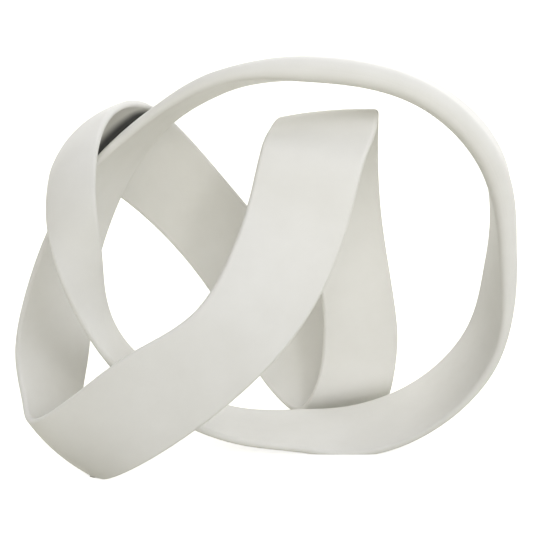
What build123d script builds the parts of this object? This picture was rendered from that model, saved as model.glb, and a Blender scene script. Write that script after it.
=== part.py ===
"""Metal knot sculpture.

One closed flat band follows a knotted path and closes on itself. It is cast in twelve lengths that meet
at flat faces, are located by two dowel pins at every joint, then welded and dressed flush. Three ground
flats on the underside carry small rubber pads.
"""
import os
from math import atan, cos, pi, sin

from build123d import *

os.makedirs("parts", exist_ok=True)

# Band
BAND_WIDTH = 65.0
BAND_THICKNESS = 5.0
CORNER_SHARE = 0.45
DRAWN_WIDTH = 65.0
DRAWN_THICKNESS = 5.0

# Dowel pins at the joints
PIN_DIAMETER = 2.0
PIN_LENGTH = 12.0
PIN_SPACING = 22.0
PIN_CLEARANCE = 0.1
PIN_END_GAP = 0.5

# Rubber pads and the flats they sit on
PAD_DIAMETER = 7.0
PAD_THICKNESS = 1.0

# Sections of the band are drawn at even steps. Castings run on past each joint and are then faced off flat
SECTION_STEP = 6.0
RUN_ON_SECTIONS = 2
FACING_DEPTH = 30.0
FACING_MARGIN = 12.0

# Stations along the band: near edge, far edge, thickness over the standard one, bow across the width.
# x runs to the right, y away from the viewer, z up. The near edge is the rim that faces the viewer on
# the hoop. A positive bow domes the face that lies inside the hoop, a negative one the face outside it.
STATIONS = [
    ((35, -28, 2), (37, 37, 10), 0, 0),  # bottom of the hoop
    ((106.5, -29.5, 17.5), (94, 33.5, 26.5), 0, 0),
    ((151, -33, 71.5), (135, 32, 64.5), 1.5, 0),
    ((155.5, -33, 138), (153, 32, 120), 7, 0),  # right side of the hoop
    ((144.5, -32, 192.5), (153, 33, 182.5), 11, 0),
    ((103, -32, 238), (111.5, 33, 230.5), 11, 0),
    ((30, -31, 257), (33, 34, 249), 11.5, 0),  # top of the hoop
    ((-31.5, -28, 251.5), (-30.5, 36, 235), 4.5, 0),
    ((-77.5, -18.5, 224), (-71.5, 39, 205.5), 1.5, 0),
    ((-129, -12, 171), (-104, 40, 149), -0.5, 0),  # under the shoulder
    ((-156, -18.5, 110), (-118, 28.5, 95), -0.5, 0),
    ((-163, -29.5, 73), (-120, 11, 58.5), -0.5, 0),
    ((-156.5, -51, 46.5), (-122.5, -26, 23), -0.5, -2),
    ((-147.5, -71.5, 40), (-111.5, -61, 0.5), -0.5, -4),  # lowest part of the heel
    ((-124.5, -83.5, 57), (-90.5, -82.5, 8), -0.5, -2),
    ((-84.5, -86.5, 88), (-42.5, -84.5, 39), 0, -1),
    ((-46, -77.5, 111), (-1, -72.5, 72.5), 0, 0),  # front diagonal
    ((-21.5, -53, 147.5), (33.5, -52.5, 115), 0, 0),
    ((-9.5, -33.5, 181), (54, -40, 167.5), 0.5, 0),
    ((-2, -20.5, 209), (63.5, -30.5, 201.5), 1, 0),
    ((1.5, -7, 213), (69, -18, 212.5), 1, -1),
    ((8, 16.5, 215.5), (73, 8, 222.5), 1, -2),  # top of the crown
    ((14, 33, 191.5), (74.5, 35, 194.5), 0.5, 0),
    ((28, 37, 131.5), (80, 50, 132), 0, 0),
    ((39, 44, 69), (90, 50, 68.5), 0, 0),  # rear drop
    ((36.5, 49, 33.5), (90, 49, 45), 0, 0),
    ((30, 52, 14), (87, 49, 24), 0, 0),
    ((21, 62, 2), (83, 64, 12), 0, 0),  # lowest part of the foot
    ((7.5, 75.5, 7.5), (76, 78.5, 25), 0, 0),
    ((-11, 84.5, 31.5), (55.5, 86.5, 60.5), 0, 0),
    ((-39.5, 88.5, 81), (14.5, 88.5, 110.5), 0, 0),  # rear diagonal
    ((-77.5, 84.5, 129.5), (-28, 84.5, 162.5), 0, 0),
    ((-110, 64, 162), (-64.5, 64, 208.5), 0, 2),
    ((-134, 14.5, 186), (-89, 19.5, 227.5), 0, 7),  # over the shoulder
    ((-137, -36.5, 183.5), (-105, -31.5, 213), 0, 6),
    ((-138, -50, 166), (-106.5, -58, 183), -0.5, 3),
    ((-132, -65, 138), (-104, -55, 149), -0.5, 1),  # left sweep
    ((-119.5, -69, 109), (-104, -42, 117.5), -0.5, 0),
    ((-98.5, -66, 75), (-97.5, -12, 79), -0.5, 0),
    ((-62.5, -47, 35), (-65.5, 12, 39), 0, 0),
    ((-14.5, -31, 10), (-14.5, 33, 11.5), 0, 0),
]

# Joints, as places along the stations
LEFT_TO_LOWER = 40.0
LOWER_TO_RIGHT = 1.5
RIGHT_TO_UPPER = 4.5
UPPER_TO_DROP = 7.5
DROP_TO_HEEL = 11.0
HEEL_TO_FRONT = 14.8
FRONT_TO_CROWN = 17.5
CROWN_TO_REAR = 22.5
REAR_TO_FOOT = 24.3
FOOT_TO_DIAGONAL = 29.5
DIAGONAL_TO_SHOULDER = 31.6
SHOULDER_TO_LEFT = 38.3

# Pads under the heel, the hoop and the foot
HEEL_PAD = (-110, -66)
HOOP_PAD = (48, -20)
FOOT_PAD = (23, 64)

COUNT = len(STATIONS)
WIDTH_SHARE = BAND_WIDTH / DRAWN_WIDTH
LIFT = Vector(0, 0, (BAND_THICKNESS - DRAWN_THICKNESS) / 2)


def edge_points(side: int) -> list[Vector]:
    """The points of one edge: side 1 is the near edge, side -1 the far one."""
    points = []
    for near, far, _, _ in STATIONS:
        middle = (Vector(near) + Vector(far)) * 0.5
        reach = (Vector(near) - Vector(far)) * (0.5 * WIDTH_SHARE)
        points.append(middle + reach * side + LIFT)
    return points


# Both edges are closed smooth curves that share one measure along the band
near_points = edge_points(1)
far_points = edge_points(-1)
middles = [(a + b) * 0.5 for a, b in zip(near_points, far_points)]
measure = [0.0]
for step in range(COUNT):
    measure.append(measure[-1] + (middles[(step + 1) % COUNT] - middles[step]).length)
near_edge = Edge.make_spline(near_points, periodic=True, parameters=measure)
far_edge = Edge.make_spline(far_points, periodic=True, parameters=measure)
near_marks = [0.0] + [near_edge.param_at_point(point) for point in near_points[1:]] + [1.0]
far_marks = [0.0] + [far_edge.param_at_point(point) for point in far_points[1:]] + [1.0]


def along(marks: list[float], place: float) -> float:
    """The share of an edge's length at a place counted in stations."""
    step = int(place // 1) % COUNT
    return marks[step] + (place % 1) * (marks[step + 1] - marks[step])


def blend(column: int, place: float) -> float:
    """A column of the stations, eased from one station to the next."""
    step = int(place // 1)
    before = STATIONS[step % COUNT][column]
    after = STATIONS[(step + 1) % COUNT][column]
    return before + (after - before) * (1 - cos(pi * (place % 1))) / 2


def section_plane(place: float) -> Plane:
    """The plane square to the band at a place: x across to the near edge, z along the band."""
    near_share = along(near_marks, place)
    far_share = along(far_marks, place)
    near = near_edge @ near_share
    far = far_edge @ far_share
    across = (near - far).normalized()
    ahead = near_edge % near_share + far_edge % far_share
    ahead = (ahead - across * ahead.dot(across)).normalized()
    return Plane(origin=(near + far) * 0.5, x_dir=across, z_dir=ahead)


def half_width(place: float) -> float:
    """Half the width of the band at a place."""
    near = near_edge @ along(near_marks, place)
    far = far_edge @ along(far_marks, place)
    return (near - far).length / 2


def band_section(place: float) -> Face:
    """The band's section at a place: a rounded strip, bowed across its width where the band is domed."""
    half = half_width(place)
    thick = (BAND_THICKNESS + blend(2, place)) / 2
    bow = -blend(3, place)
    tilt = 2 * atan(bow / half)
    out = thick * sin(tilt)
    up = thick * cos(tilt)
    with BuildSketch(section_plane(place)) as section:
        with BuildLine():
            if abs(bow) < 0.05:
                Line((-half, thick), (half, thick))
                Line((half, thick), (half, -thick))
                Line((half, -thick), (-half, -thick))
                Line((-half, -thick), (-half, thick))
            else:
                ThreePointArc((-half - out, up), (0, bow + thick), (half + out, up))
                Line((half + out, up), (half - out, -up))
                ThreePointArc((half - out, -up), (0, bow - thick), (-half + out, -up))
                Line((-half + out, -up), (-half - out, up))
        make_face()
        fillet(section.vertices(), 2 * thick * CORNER_SHARE)
    return section.sketch.face()


def distance_at(place: float) -> float:
    """How far along the band a place lies."""
    step = int(place // 1)
    return measure[step] + (place % 1) * (measure[step + 1] - measure[step])


def place_at(distance: float) -> float:
    """The place that lies a distance along the band."""
    distance = distance % measure[-1]
    step = max(k for k in range(COUNT) if measure[k] <= distance)
    return step + (distance - measure[step]) / (measure[step + 1] - measure[step])


def places(first: float, last: float) -> list[float]:
    """The evenly spaced places of a casting's sections, run on past both joints."""
    step = measure[-1] / round(measure[-1] / SECTION_STEP)
    start = distance_at(first)
    end = distance_at(last)
    if end < start:
        end += measure[-1]
    lowest = int(start // step) - RUN_ON_SECTIONS
    highest = int(end // step) + 1 + RUN_ON_SECTIONS
    return [place_at(number * step) for number in range(lowest, highest + 1)]


def face_off(place: float, way: int) -> None:
    """Faces the casting off flat at a joint: way 1 takes off what lies ahead, way -1 what lies behind."""
    reach = (RUN_ON_SECTIONS + 2) * SECTION_STEP + BAND_WIDTH / 4
    across = 2 * (half_width(place) + FACING_MARGIN)
    with Locations(section_plane(place).location * Location((0, 0, way * reach / 2))):
        Box(across, FACING_DEPTH, reach, mode=Mode.SUBTRACT)


def pin_locations(place: float) -> list[Location]:
    """The two pin axes of a joint."""
    plane = section_plane(place)
    bow = -blend(3, place)
    return [plane.location * Location((side * PIN_SPACING / 2, bow, 0)) for side in (-1, 1)]


def pin_holes(place: float) -> None:
    """Drills the two blind pin holes of a joint."""
    with Locations(*pin_locations(place)):
        Cylinder(PIN_DIAMETER / 2 + PIN_CLEARANCE, PIN_LENGTH + 2 * PIN_END_GAP, mode=Mode.SUBTRACT)


def casting(first: float, last: float) -> None:
    """One length of the band between two joints, faced off and drilled at both ends."""
    loft([band_section(place) for place in places(first, last)])
    face_off(first, -1)
    face_off(last, 1)
    pin_holes(first)
    pin_holes(last)


def ground_flat(spot: tuple[float, float]) -> None:
    """Grinds the underside flat at the height of the pads."""
    with Locations((spot[0], spot[1], PAD_THICKNESS)):
        Box(80, 80, 20, align=(Align.CENTER, Align.CENTER, Align.MAX), mode=Mode.SUBTRACT)


def save(piece: BuildPart, name: str) -> None:
    """Names a finished piece and writes it out."""
    piece.part.label = name
    export_step(piece.part, f"parts/{name}.step")


# Castings, in order along the band
with BuildPart() as lower_hoop:
    casting(LEFT_TO_LOWER, LOWER_TO_RIGHT)
    ground_flat(HOOP_PAD)
save(lower_hoop, "lower_hoop")

with BuildPart() as right_hoop:
    casting(LOWER_TO_RIGHT, RIGHT_TO_UPPER)
save(right_hoop, "right_hoop")

with BuildPart() as upper_hoop:
    casting(RIGHT_TO_UPPER, UPPER_TO_DROP)
save(upper_hoop, "upper_hoop")

with BuildPart() as left_drop:
    casting(UPPER_TO_DROP, DROP_TO_HEEL)
save(left_drop, "left_drop")

with BuildPart() as heel_bend:
    casting(DROP_TO_HEEL, HEEL_TO_FRONT)
    ground_flat(HEEL_PAD)
save(heel_bend, "heel_bend")

with BuildPart() as front_sweep:
    casting(HEEL_TO_FRONT, FRONT_TO_CROWN)
save(front_sweep, "front_sweep")

with BuildPart() as crown_bend:
    casting(FRONT_TO_CROWN, CROWN_TO_REAR)
save(crown_bend, "crown_bend")

with BuildPart() as rear_drop:
    casting(CROWN_TO_REAR, REAR_TO_FOOT)
save(rear_drop, "rear_drop")

with BuildPart() as foot_curl:
    casting(REAR_TO_FOOT, FOOT_TO_DIAGONAL)
    ground_flat(FOOT_PAD)
save(foot_curl, "foot_curl")

with BuildPart() as rear_diagonal:
    casting(FOOT_TO_DIAGONAL, DIAGONAL_TO_SHOULDER)
save(rear_diagonal, "rear_diagonal")

with BuildPart() as shoulder_bend:
    casting(DIAGONAL_TO_SHOULDER, SHOULDER_TO_LEFT)
save(shoulder_bend, "shoulder_bend")

with BuildPart() as left_sweep:
    casting(SHOULDER_TO_LEFT, LEFT_TO_LOWER)
save(left_sweep, "left_sweep")


# Dowel pins, two to a joint
def joint_pin(place: float, side: int) -> None:
    """One straight dowel, half in each casting: side 0 is the far pin of the joint, side 1 the near one."""
    with Locations(pin_locations(place)[side]):
        Cylinder(PIN_DIAMETER / 2, PIN_LENGTH)


JOINTS = {
    "left_to_lower": LEFT_TO_LOWER,
    "lower_to_right": LOWER_TO_RIGHT,
    "right_to_upper": RIGHT_TO_UPPER,
    "upper_to_drop": UPPER_TO_DROP,
    "drop_to_heel": DROP_TO_HEEL,
    "heel_to_front": HEEL_TO_FRONT,
    "front_to_crown": FRONT_TO_CROWN,
    "crown_to_rear": CROWN_TO_REAR,
    "rear_to_foot": REAR_TO_FOOT,
    "foot_to_diagonal": FOOT_TO_DIAGONAL,
    "diagonal_to_shoulder": DIAGONAL_TO_SHOULDER,
    "shoulder_to_left": SHOULDER_TO_LEFT,
}
for joint, joint_place in JOINTS.items():
    for side, edge in enumerate(("far", "near")):
        with BuildPart() as joint_dowel:
            joint_pin(joint_place, side)
        save(joint_dowel, f"pin_{joint}_{edge}")

# Rubber pads
PADS = {"heel_pad": HEEL_PAD, "hoop_pad": HOOP_PAD, "foot_pad": FOOT_PAD}
for pad_name, (pad_x, pad_y) in PADS.items():
    with BuildPart() as rubber_pad:
        with BuildSketch(Plane.XY):
            with Locations((pad_x, pad_y)):
                Circle(PAD_DIAMETER / 2)
        extrude(amount=PAD_THICKNESS)
    save(rubber_pad, pad_name)
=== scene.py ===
"""Looks of the metal knot sculpture: a matte off-white coated band in a plain white studio."""

import logging
import math
from dataclasses import dataclass, field
from enum import Enum

import bpy
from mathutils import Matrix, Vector

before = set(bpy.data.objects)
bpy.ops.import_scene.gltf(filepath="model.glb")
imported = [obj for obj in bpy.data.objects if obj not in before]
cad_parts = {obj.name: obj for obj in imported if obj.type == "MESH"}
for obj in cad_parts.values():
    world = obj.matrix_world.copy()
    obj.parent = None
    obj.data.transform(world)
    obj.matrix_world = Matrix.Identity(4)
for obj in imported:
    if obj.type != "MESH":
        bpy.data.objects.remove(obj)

LOG = logging.getLogger("knot")
MM = 0.001
PHOTO_SIDE_PX = 533
SENSOR_MM = 36.0
# Nearly all of a noise lies between these two values.
NOISE_LOW, NOISE_HIGH = 0.3, 0.7


class Slot(Enum):
    """Material slots of the record that the pieces take their finish from."""

    COAT = "powder_coat"
    STEEL = "dowel_steel"
    RUBBER = "rubber"


@dataclass(frozen=True)
class Ripple:
    """One layer of noise on a surface."""

    waves_per_m: float
    octaves: float
    fineness: float


@dataclass
class Graph:
    """A small helper that adds and wires shader nodes in one tree."""

    tree: bpy.types.NodeTree

    def add(self, kind: str, **settings: object) -> bpy.types.Node:
        """Adds a node.

        Args:
            kind: the node's type name.
            settings: attributes to set on it.

        Returns:
            The new node.
        """
        node = self.tree.nodes.new(kind)
        for name, value in settings.items():
            setattr(node, name, value)
        return node

    def link(self, source: bpy.types.NodeSocket, target: bpy.types.NodeSocket) -> None:
        """Joins an output to an input."""
        self.tree.links.new(source, target)

    def noise(self, ripple: Ripple) -> bpy.types.NodeSocket:
        """Adds a noise texture on Object coordinates.

        Args:
            ripple: the layer of noise.

        Returns:
            The output that carries the noise.
        """
        place = self.add("ShaderNodeTexCoord")
        node = self.add("ShaderNodeTexNoise")
        node.inputs["Scale"].default_value = ripple.waves_per_m
        node.inputs["Detail"].default_value = ripple.octaves
        node.inputs["Roughness"].default_value = ripple.fineness
        self.link(place.outputs["Object"], node.inputs["Vector"])
        return node.outputs["Fac"]

    def span(
        self, source: bpy.types.NodeSocket, low: float, high: float
    ) -> bpy.types.NodeSocket:
        """Spreads a noise over a range.

        Args:
            source: the output that carries the noise.
            low: what the noise's low end becomes.
            high: what its high end becomes.

        Returns:
            The output that carries the spread value.
        """
        node = self.add("ShaderNodeMapRange")
        node.inputs["From Min"].default_value = NOISE_LOW
        node.inputs["From Max"].default_value = NOISE_HIGH
        node.inputs["To Min"].default_value = low
        node.inputs["To Max"].default_value = high
        self.link(source, node.inputs["Value"])
        return node.outputs["Result"]

    def sum(
        self, first: bpy.types.NodeSocket, second: bpy.types.NodeSocket, share: float
    ) -> bpy.types.NodeSocket:
        """Adds a share of one value to another.

        Args:
            first: the value that is kept whole.
            second: the value that is scaled.
            share: how much of the second is added.

        Returns:
            The output that carries the sum.
        """
        node = self.add("ShaderNodeMath", operation="MULTIPLY_ADD")
        self.link(second, node.inputs[0])
        node.inputs[1].default_value = share
        self.link(first, node.inputs[2])
        return node.outputs["Value"]

    def fade(
        self, source: bpy.types.NodeSocket, start: float, stop: float
    ) -> bpy.types.NodeSocket:
        """Rises smoothly from 0 to 1 between two values.

        Args:
            source: the output that carries the value.
            start: where the rise starts.
            stop: where it is full.

        Returns:
            The output that carries the rise.
        """
        node = self.add("ShaderNodeMapRange", interpolation_type="SMOOTHSTEP")
        node.inputs["From Min"].default_value = start
        node.inputs["From Max"].default_value = stop
        self.link(source, node.inputs["Value"])
        return node.outputs["Result"]

    def seen(self) -> bpy.types.NodeSocket:
        """Finds the rays that look: those of the camera, and reflected and refracted ones.

        Returns:
            The output that is 1 for these rays and 0 for the rays that carry light.
        """
        path = self.add("ShaderNodeLightPath")
        found = path.outputs["Is Camera Ray"]
        for kind in ("Is Glossy Ray", "Is Transmission Ray"):
            either = self.add("ShaderNodeMath", operation="MAXIMUM")
            self.link(found, either.inputs[0])
            self.link(path.outputs[kind], either.inputs[1])
            found = either.outputs["Value"]
        return found


@dataclass(frozen=True)
class DressedSurface:
    """The surface of a casting that was dressed by hand and coated."""

    dressing: Ripple = Ripple(16.0, 1.0, 0.4)
    planing: Ripple = Ripple(55.0, 2.0, 0.5)
    peel: Ripple = Ripple(1100.0, 2.0, 0.55)
    cloud: Ripple = Ripple(34.0, 4.0, 0.6)
    planing_share: float = 0.22
    peel_share: float = 0.012

    def group(self) -> bpy.types.NodeTree:
        """Builds the surface on Object coordinates.

        Returns:
            A node group that puts out Height, Mottle and Grain.
        """
        tree = bpy.data.node_groups.new("dressed_surface", "ShaderNodeTree")
        for name in ("Height", "Mottle", "Grain"):
            tree.interface.new_socket(name, in_out="OUTPUT", socket_type="NodeSocketFloat")
        graph = Graph(tree)
        out = graph.add("NodeGroupOutput")
        peel = graph.noise(self.peel)
        height = graph.sum(
            graph.noise(self.dressing), graph.noise(self.planing), self.planing_share
        )
        graph.link(graph.sum(height, peel, self.peel_share), out.inputs["Height"])
        graph.link(graph.noise(self.cloud), out.inputs["Mottle"])
        graph.link(peel, out.inputs["Grain"])
        return tree


@dataclass(frozen=True)
class PaintedRecessShade:
    """Painted shade in the deep gap between the shoulder and the hoop: a mask where the coat's
    colour is darkened to near-black.
    """

    start_mm: tuple[float, float, float] = (-87.0, 46.0, 211.5)
    end_mm: tuple[float, float, float] = (-112.0, 46.0, 190.0)
    core_mm: float = 5.0
    reach_mm: float = 17.0
    facing: tuple[float, float, float] = (0.50, -0.57, -0.65)
    facing_start: float = 0.2
    facing_full: float = 0.6

    def group(self) -> bpy.types.NodeTree:
        """Builds the mask of the painted shade in the gap, on Object coordinates.

        Returns:
            A node group whose Depth is 1 along the gap and falls to 0 around it.
        """
        tree = bpy.data.node_groups.new("painted_recess_shade", "ShaderNodeTree")
        tree.interface.new_socket("Depth", in_out="OUTPUT", socket_type="NodeSocketFloat")
        graph = Graph(tree)
        out = graph.add("NodeGroupOutput")
        place = graph.add("ShaderNodeTexCoord")
        near = graph.fade(
            self.distance(graph, place.outputs["Object"]), self.reach_mm * MM, self.core_mm * MM
        )
        turned = graph.add("ShaderNodeVectorMath", operation="DOT_PRODUCT")
        graph.link(place.outputs["Normal"], turned.inputs[0])
        turned.inputs[1].default_value = self.facing
        inner = graph.fade(turned.outputs["Value"], self.facing_start, self.facing_full)
        depth = graph.add("ShaderNodeMath", operation="MULTIPLY")
        graph.link(near, depth.inputs[0])
        graph.link(inner, depth.inputs[1])
        graph.link(depth.outputs["Value"], out.inputs["Depth"])
        return tree

    def distance(self, graph: Graph, place: bpy.types.NodeSocket) -> bpy.types.NodeSocket:
        """Measures how far a point lies from the gap's line.

        Args:
            graph: the tree to build in.
            place: the output that carries the point.

        Returns:
            The output that carries the distance in metres.
        """
        start = Vector(self.start_mm) * MM
        run = Vector(self.end_mm) * MM - start
        offset = graph.add("ShaderNodeVectorMath", operation="SUBTRACT")
        graph.link(place, offset.inputs[0])
        offset.inputs[1].default_value = start
        share = graph.add("ShaderNodeVectorMath", operation="DOT_PRODUCT")
        graph.link(offset.outputs["Vector"], share.inputs[0])
        share.inputs[1].default_value = run / run.length_squared
        held = graph.add("ShaderNodeClamp")
        graph.link(share.outputs["Value"], held.inputs["Value"])
        nearest = graph.add("ShaderNodeVectorMath", operation="SCALE")
        nearest.inputs[0].default_value = run
        graph.link(held.outputs["Result"], nearest.inputs["Scale"])
        gap = graph.add("ShaderNodeVectorMath", operation="DISTANCE")
        graph.link(offset.outputs["Vector"], gap.inputs[0])
        graph.link(nearest.outputs["Vector"], gap.inputs[1])
        return gap.outputs["Value"]


@dataclass(frozen=True)
class CoatFinish:
    """Matte off-white powder coat on a hand-dressed casting, with shade painted into the gap over
    the hoop.
    """

    name: str = "powder_coat"
    light: tuple[float, float, float] = (0.815, 0.808, 0.775)
    shade: tuple[float, float, float] = (0.785, 0.777, 0.740)
    # Painted shade: a near-black colour laid into the gap between shoulder and hoop.
    painted_shade: tuple[float, float, float] = (0.03, 0.03, 0.03)
    roughness: tuple[float, float] = (0.50, 0.60)
    specular: float = 0.35
    relief_m: float = 0.0011

    def material(
        self, surface: bpy.types.NodeTree, recess: bpy.types.NodeTree
    ) -> bpy.types.Material:
        """Builds the coat's material.

        Args:
            surface: the dressed surface group.
            recess: the group that says where shade is painted into the coat.

        Returns:
            The material.
        """
        made = bpy.data.materials.new(self.name)
        made.use_nodes = True
        graph = Graph(made.node_tree)
        shader = made.node_tree.nodes["Principled BSDF"]
        shader.inputs["Specular IOR Level"].default_value = self.specular
        group = graph.add("ShaderNodeGroup", node_tree=surface)
        tint = graph.add("ShaderNodeMix", data_type="RGBA")
        tint.inputs["A"].default_value = (*self.shade, 1.0)
        tint.inputs["B"].default_value = (*self.light, 1.0)
        graph.link(graph.span(group.outputs["Mottle"], 0.0, 1.0), tint.inputs["Factor"])
        # Painted shade: along the gap the colour is pulled towards near-black.
        gap = graph.add("ShaderNodeGroup", node_tree=recess)
        painted_shade_mix = graph.add("ShaderNodeMix", data_type="RGBA")
        graph.link(gap.outputs["Depth"], painted_shade_mix.inputs["Factor"])
        graph.link(tint.outputs["Result"], painted_shade_mix.inputs["A"])
        painted_shade_mix.inputs["B"].default_value = (*self.painted_shade, 1.0)
        graph.link(painted_shade_mix.outputs["Result"], shader.inputs["Base Color"])
        graph.link(graph.span(group.outputs["Grain"], *self.roughness), shader.inputs["Roughness"])
        bump = graph.add("ShaderNodeBump")
        bump.inputs["Strength"].default_value = 1.0
        bump.inputs["Distance"].default_value = self.relief_m
        graph.link(group.outputs["Height"], bump.inputs["Height"])
        graph.link(bump.outputs["Normal"], shader.inputs["Normal"])
        return made


@dataclass(frozen=True)
class SteelFinish:
    """Ground dowel steel, hidden inside the joints."""

    name: str = "dowel_steel"
    colour: tuple[float, float, float] = (0.55, 0.56, 0.58)
    roughness: tuple[float, float] = (0.25, 0.40)
    grinding: Ripple = Ripple(2400.0, 3.0, 0.6)

    def material(self) -> bpy.types.Material:
        """Builds the pins' material.

        Returns:
            The material.
        """
        made = bpy.data.materials.new(self.name)
        made.use_nodes = True
        graph = Graph(made.node_tree)
        shader = made.node_tree.nodes["Principled BSDF"]
        shader.inputs["Base Color"].default_value = (*self.colour, 1.0)
        shader.inputs["Metallic"].default_value = 1.0
        grind = graph.noise(self.grinding)
        graph.link(graph.span(grind, *self.roughness), shader.inputs["Roughness"])
        return made


@dataclass(frozen=True)
class RubberFinish:
    """Light grey rubber of the pads underneath."""

    name: str = "rubber"
    light: tuple[float, float, float] = (0.62, 0.61, 0.58)
    shade: tuple[float, float, float] = (0.56, 0.55, 0.52)
    roughness: float = 0.8
    relief_m: float = 0.00006

    def material(self, surface: bpy.types.NodeTree) -> bpy.types.Material:
        """Builds the pads' material.

        Args:
            surface: the dressed surface group, for its grain.

        Returns:
            The material.
        """
        made = bpy.data.materials.new(self.name)
        made.use_nodes = True
        graph = Graph(made.node_tree)
        shader = made.node_tree.nodes["Principled BSDF"]
        shader.inputs["Roughness"].default_value = self.roughness
        group = graph.add("ShaderNodeGroup", node_tree=surface)
        tint = graph.add("ShaderNodeMix", data_type="RGBA")
        tint.inputs["A"].default_value = (*self.shade, 1.0)
        tint.inputs["B"].default_value = (*self.light, 1.0)
        graph.link(graph.span(group.outputs["Grain"], 0.0, 1.0), tint.inputs["Factor"])
        graph.link(tint.outputs["Result"], shader.inputs["Base Color"])
        bump = graph.add("ShaderNodeBump")
        bump.inputs["Distance"].default_value = self.relief_m
        graph.link(group.outputs["Grain"], bump.inputs["Height"])
        graph.link(bump.outputs["Normal"], shader.inputs["Normal"])
        return made


@dataclass
class Run:
    """A run of pieces that share one finish."""

    pieces: tuple[str, ...]
    finish: Slot = Slot.COAT

    def dress(self, materials: dict[Slot, bpy.types.Material]) -> None:
        """Gives each piece of the run its finish.

        Args:
            materials: the material of each slot.
        """
        for piece in self.pieces:
            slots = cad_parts[piece].data.materials
            slots.clear()
            slots.append(materials[self.finish])
            LOG.info("%s: %s dressed", type(self).__name__, piece)


@dataclass
class Hoop(Run):
    """The upright hoop and the side of it that drops to the heel."""

    pieces: tuple[str, ...] = ("lower_hoop", "right_hoop", "upper_hoop", "left_drop")


@dataclass
class FrontRun(Run):
    """The heel, the front diagonal and the crown."""

    pieces: tuple[str, ...] = ("heel_bend", "front_sweep", "crown_bend")


@dataclass
class RearRun(Run):
    """From the crown down to the foot and up again behind everything."""

    pieces: tuple[str, ...] = ("rear_drop", "foot_curl", "rear_diagonal")


@dataclass
class LeftRun(Run):
    """Over the hoop at the upper left and back to the hoop's bottom."""

    pieces: tuple[str, ...] = ("shoulder_bend", "left_sweep")


def pin_names() -> tuple[str, ...]:
    """Lists the dowel pins of the frame in order."""
    return tuple(sorted(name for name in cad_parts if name.startswith("pin_")))


@dataclass
class DowelPins(Run):
    """The pins inside the joints."""

    pieces: tuple[str, ...] = field(default_factory=pin_names)
    finish: Slot = Slot.STEEL


@dataclass
class Pads(Run):
    """The pads that the piece stands on."""

    pieces: tuple[str, ...] = ("heel_pad", "hoop_pad", "foot_pad")
    finish: Slot = Slot.RUBBER


@dataclass(frozen=True)
class Lamp:
    """A soft lamp far off: azimuth 0 is the camera's side, 90 the right.

    At a strength of 1 a white face that is square to the lamp renders white.
    """

    name: str
    azimuth_deg: float
    elevation_deg: float
    strength: float
    colour: tuple[float, float, float] = (1.0, 1.0, 1.0)
    spread_deg: float = 40.0

    def place(self) -> None:
        """Adds the lamp to the scene."""
        data = bpy.data.lights.new(self.name, "SUN")
        data.energy = math.pi * self.strength
        data.color = self.colour
        data.angle = math.radians(self.spread_deg)
        lamp = bpy.data.objects.new(self.name, data)
        bpy.context.scene.collection.objects.link(lamp)
        turn, rise = math.radians(self.azimuth_deg), math.radians(self.elevation_deg)
        level = math.cos(rise)
        away = Vector((math.sin(turn) * level, -math.cos(turn) * level, math.sin(rise)))
        lamp.rotation_euler = (-away).to_track_quat("-Z", "Y").to_euler()


@dataclass(frozen=True)
class Snoot:
    """A spot lamp with a soft narrow cone."""

    name: str
    place_mm: tuple[float, float, float]
    aim_mm: tuple[float, float, float]
    watts: float
    cone_deg: float
    radius_m: float = 0.12

    def place(self) -> None:
        """Adds the lamp to the scene."""
        data = bpy.data.lights.new(self.name, "SPOT")
        data.energy = self.watts
        data.spot_size = math.radians(self.cone_deg)
        data.spot_blend = 1.0
        data.shadow_soft_size = self.radius_m
        lamp = bpy.data.objects.new(self.name, data)
        bpy.context.scene.collection.objects.link(lamp)
        lamp.location = Vector(self.place_mm) * MM
        look = (Vector(self.aim_mm) - Vector(self.place_mm)) * MM
        lamp.rotation_euler = look.to_track_quat("-Z", "Y").to_euler()


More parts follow.
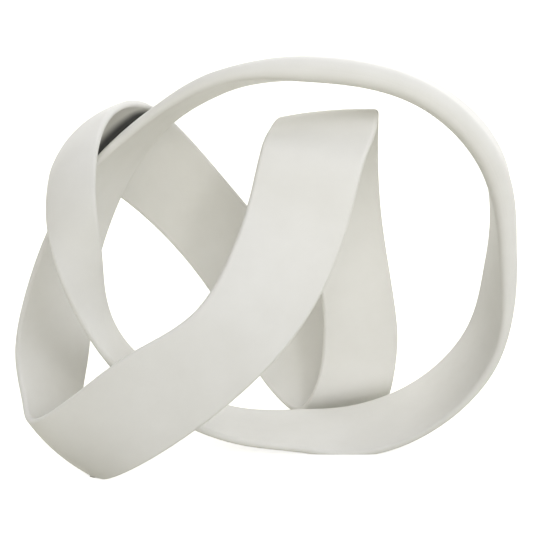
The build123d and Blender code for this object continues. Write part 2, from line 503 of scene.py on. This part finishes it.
@dataclass
class Studio:
    """White floor and surround, soft lamps and the camera of the photograph."""

    target: Vector = field(default_factory=lambda: Vector((0, -4, 123)) * MM)
    distance: float = 1300 * MM
    elevation_deg: float = 14.0
    metres_per_px: float = 0.657 * MM
    floor_side: float = 14.0
    floor_colour: tuple[float, float, float] = (0.63, 0.62, 0.54)
    floor_glow: float = 0.8
    world_strength: float = 0.06
    world_seen: float = 1.0
    lamps: tuple[Lamp, ...] = (
        Lamp("key", 42.0, 30.0, 0.28, (0.92, 0.94, 1.0)),
        Lamp("front_low", 0.0, 5.0, 0.22, (1.0, 0.985, 0.957)),
        Lamp("front_high", 5.0, 42.0, 0.2),
        Lamp("left_side", 270.0, 24.0, 0.19, (1.0, 0.98, 0.96)),
        Lamp("left_back", 225.0, 20.0, 0.12),
        Lamp("back_low", 180.0, 5.0, 0.12),
        Lamp("back_middle", 180.0, 30.0, 0.19, (1.0, 0.98, 0.94)),
        Lamp("back_high", 180.0, 60.0, 0.19),
        Lamp("right_high", 135.0, 60.0, 0.2),
        Lamp("right_back", 128.0, 14.0, 0.22),
    )
    crown_spot: Snoot = Snoot(
        "crown_spot",
        place_mm=(470.0, -1000.0, 750.0),
        aim_mm=(48.0, 0.0, 172.0),
        watts=16.5,
        cone_deg=12.0,
    )

    def build(self) -> None:
        """Adds the floor, the world, the lamps and the camera."""
        self.floor()
        self.world()
        for lamp in (*self.lamps, self.crown_spot):
            lamp.place()
        self.camera()

    def floor(self) -> None:
        """A floor that looks white and keeps a faint shadow."""
        bpy.ops.object.select_all(action="DESELECT")
        bpy.ops.mesh.primitive_plane_add(size=self.floor_side, location=(0.0, 0.0, 0.0))
        floor = bpy.context.active_object
        floor.name = "floor"
        made = bpy.data.materials.new("floor_white")
        made.use_nodes = True
        graph = Graph(made.node_tree)
        nodes = made.node_tree.nodes
        nodes.remove(nodes["Principled BSDF"])
        matte = graph.add("ShaderNodeBsdfDiffuse")
        matte.inputs["Color"].default_value = (*self.floor_colour, 1.0)
        glow = graph.add("ShaderNodeEmission")
        level = graph.add("ShaderNodeMath", operation="MULTIPLY")
        graph.link(graph.seen(), level.inputs[0])
        level.inputs[1].default_value = self.floor_glow
        graph.link(level.outputs["Value"], glow.inputs["Strength"])
        both = graph.add("ShaderNodeAddShader")
        graph.link(matte.outputs["BSDF"], both.inputs[0])
        graph.link(glow.outputs["Emission"], both.inputs[1])
        graph.link(both.outputs["Shader"], nodes["Material Output"].inputs["Surface"])
        floor.data.materials.append(made)

    def world(self) -> None:
        """A surround that looks white and adds only a little light."""
        world = bpy.data.worlds.new("studio_white")
        bpy.context.scene.world = world
        world.use_nodes = True
        graph = Graph(world.node_tree)
        back = world.node_tree.nodes["Background"]
        back.inputs["Color"].default_value = (1.0, 1.0, 1.0, 1.0)
        level = graph.add("ShaderNodeMapRange")
        level.inputs["To Min"].default_value = self.world_strength
        level.inputs["To Max"].default_value = self.world_seen
        graph.link(graph.seen(), level.inputs["Value"])
        graph.link(level.outputs["Result"], back.inputs["Strength"])

    def camera(self) -> None:
        """The photograph's camera: a long lens a little above level."""
        data = bpy.data.cameras.new("camera")
        data.sensor_width = SENSOR_MM
        data.lens = SENSOR_MM * self.distance / self.metres_per_px / PHOTO_SIDE_PX
        camera = bpy.data.objects.new("camera", data)
        bpy.context.scene.collection.objects.link(camera)
        rise = math.radians(self.elevation_deg)
        back = Vector((0.0, -math.cos(rise), math.sin(rise)))
        camera.location = self.target + back * self.distance
        camera.rotation_euler = (-back).to_track_quat("-Z", "Y").to_euler()
        bpy.context.scene.camera = camera


def main() -> None:
    """Dresses the runs in order along the band and sets the studio."""
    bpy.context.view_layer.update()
    surface = DressedSurface().group()
    materials = {
        Slot.COAT: CoatFinish().material(surface, PaintedRecessShade().group()),
        Slot.STEEL: SteelFinish().material(),
        Slot.RUBBER: RubberFinish().material(surface),
    }
    for run in (Hoop(), FrontRun(), RearRun(), LeftRun(), DowelPins(), Pads()):
        run.dress(materials)
    Studio().build()
    bpy.context.scene.view_settings.view_transform = "Standard"


if __name__ == "__main__":
    logging.basicConfig(level=logging.INFO)
    main()
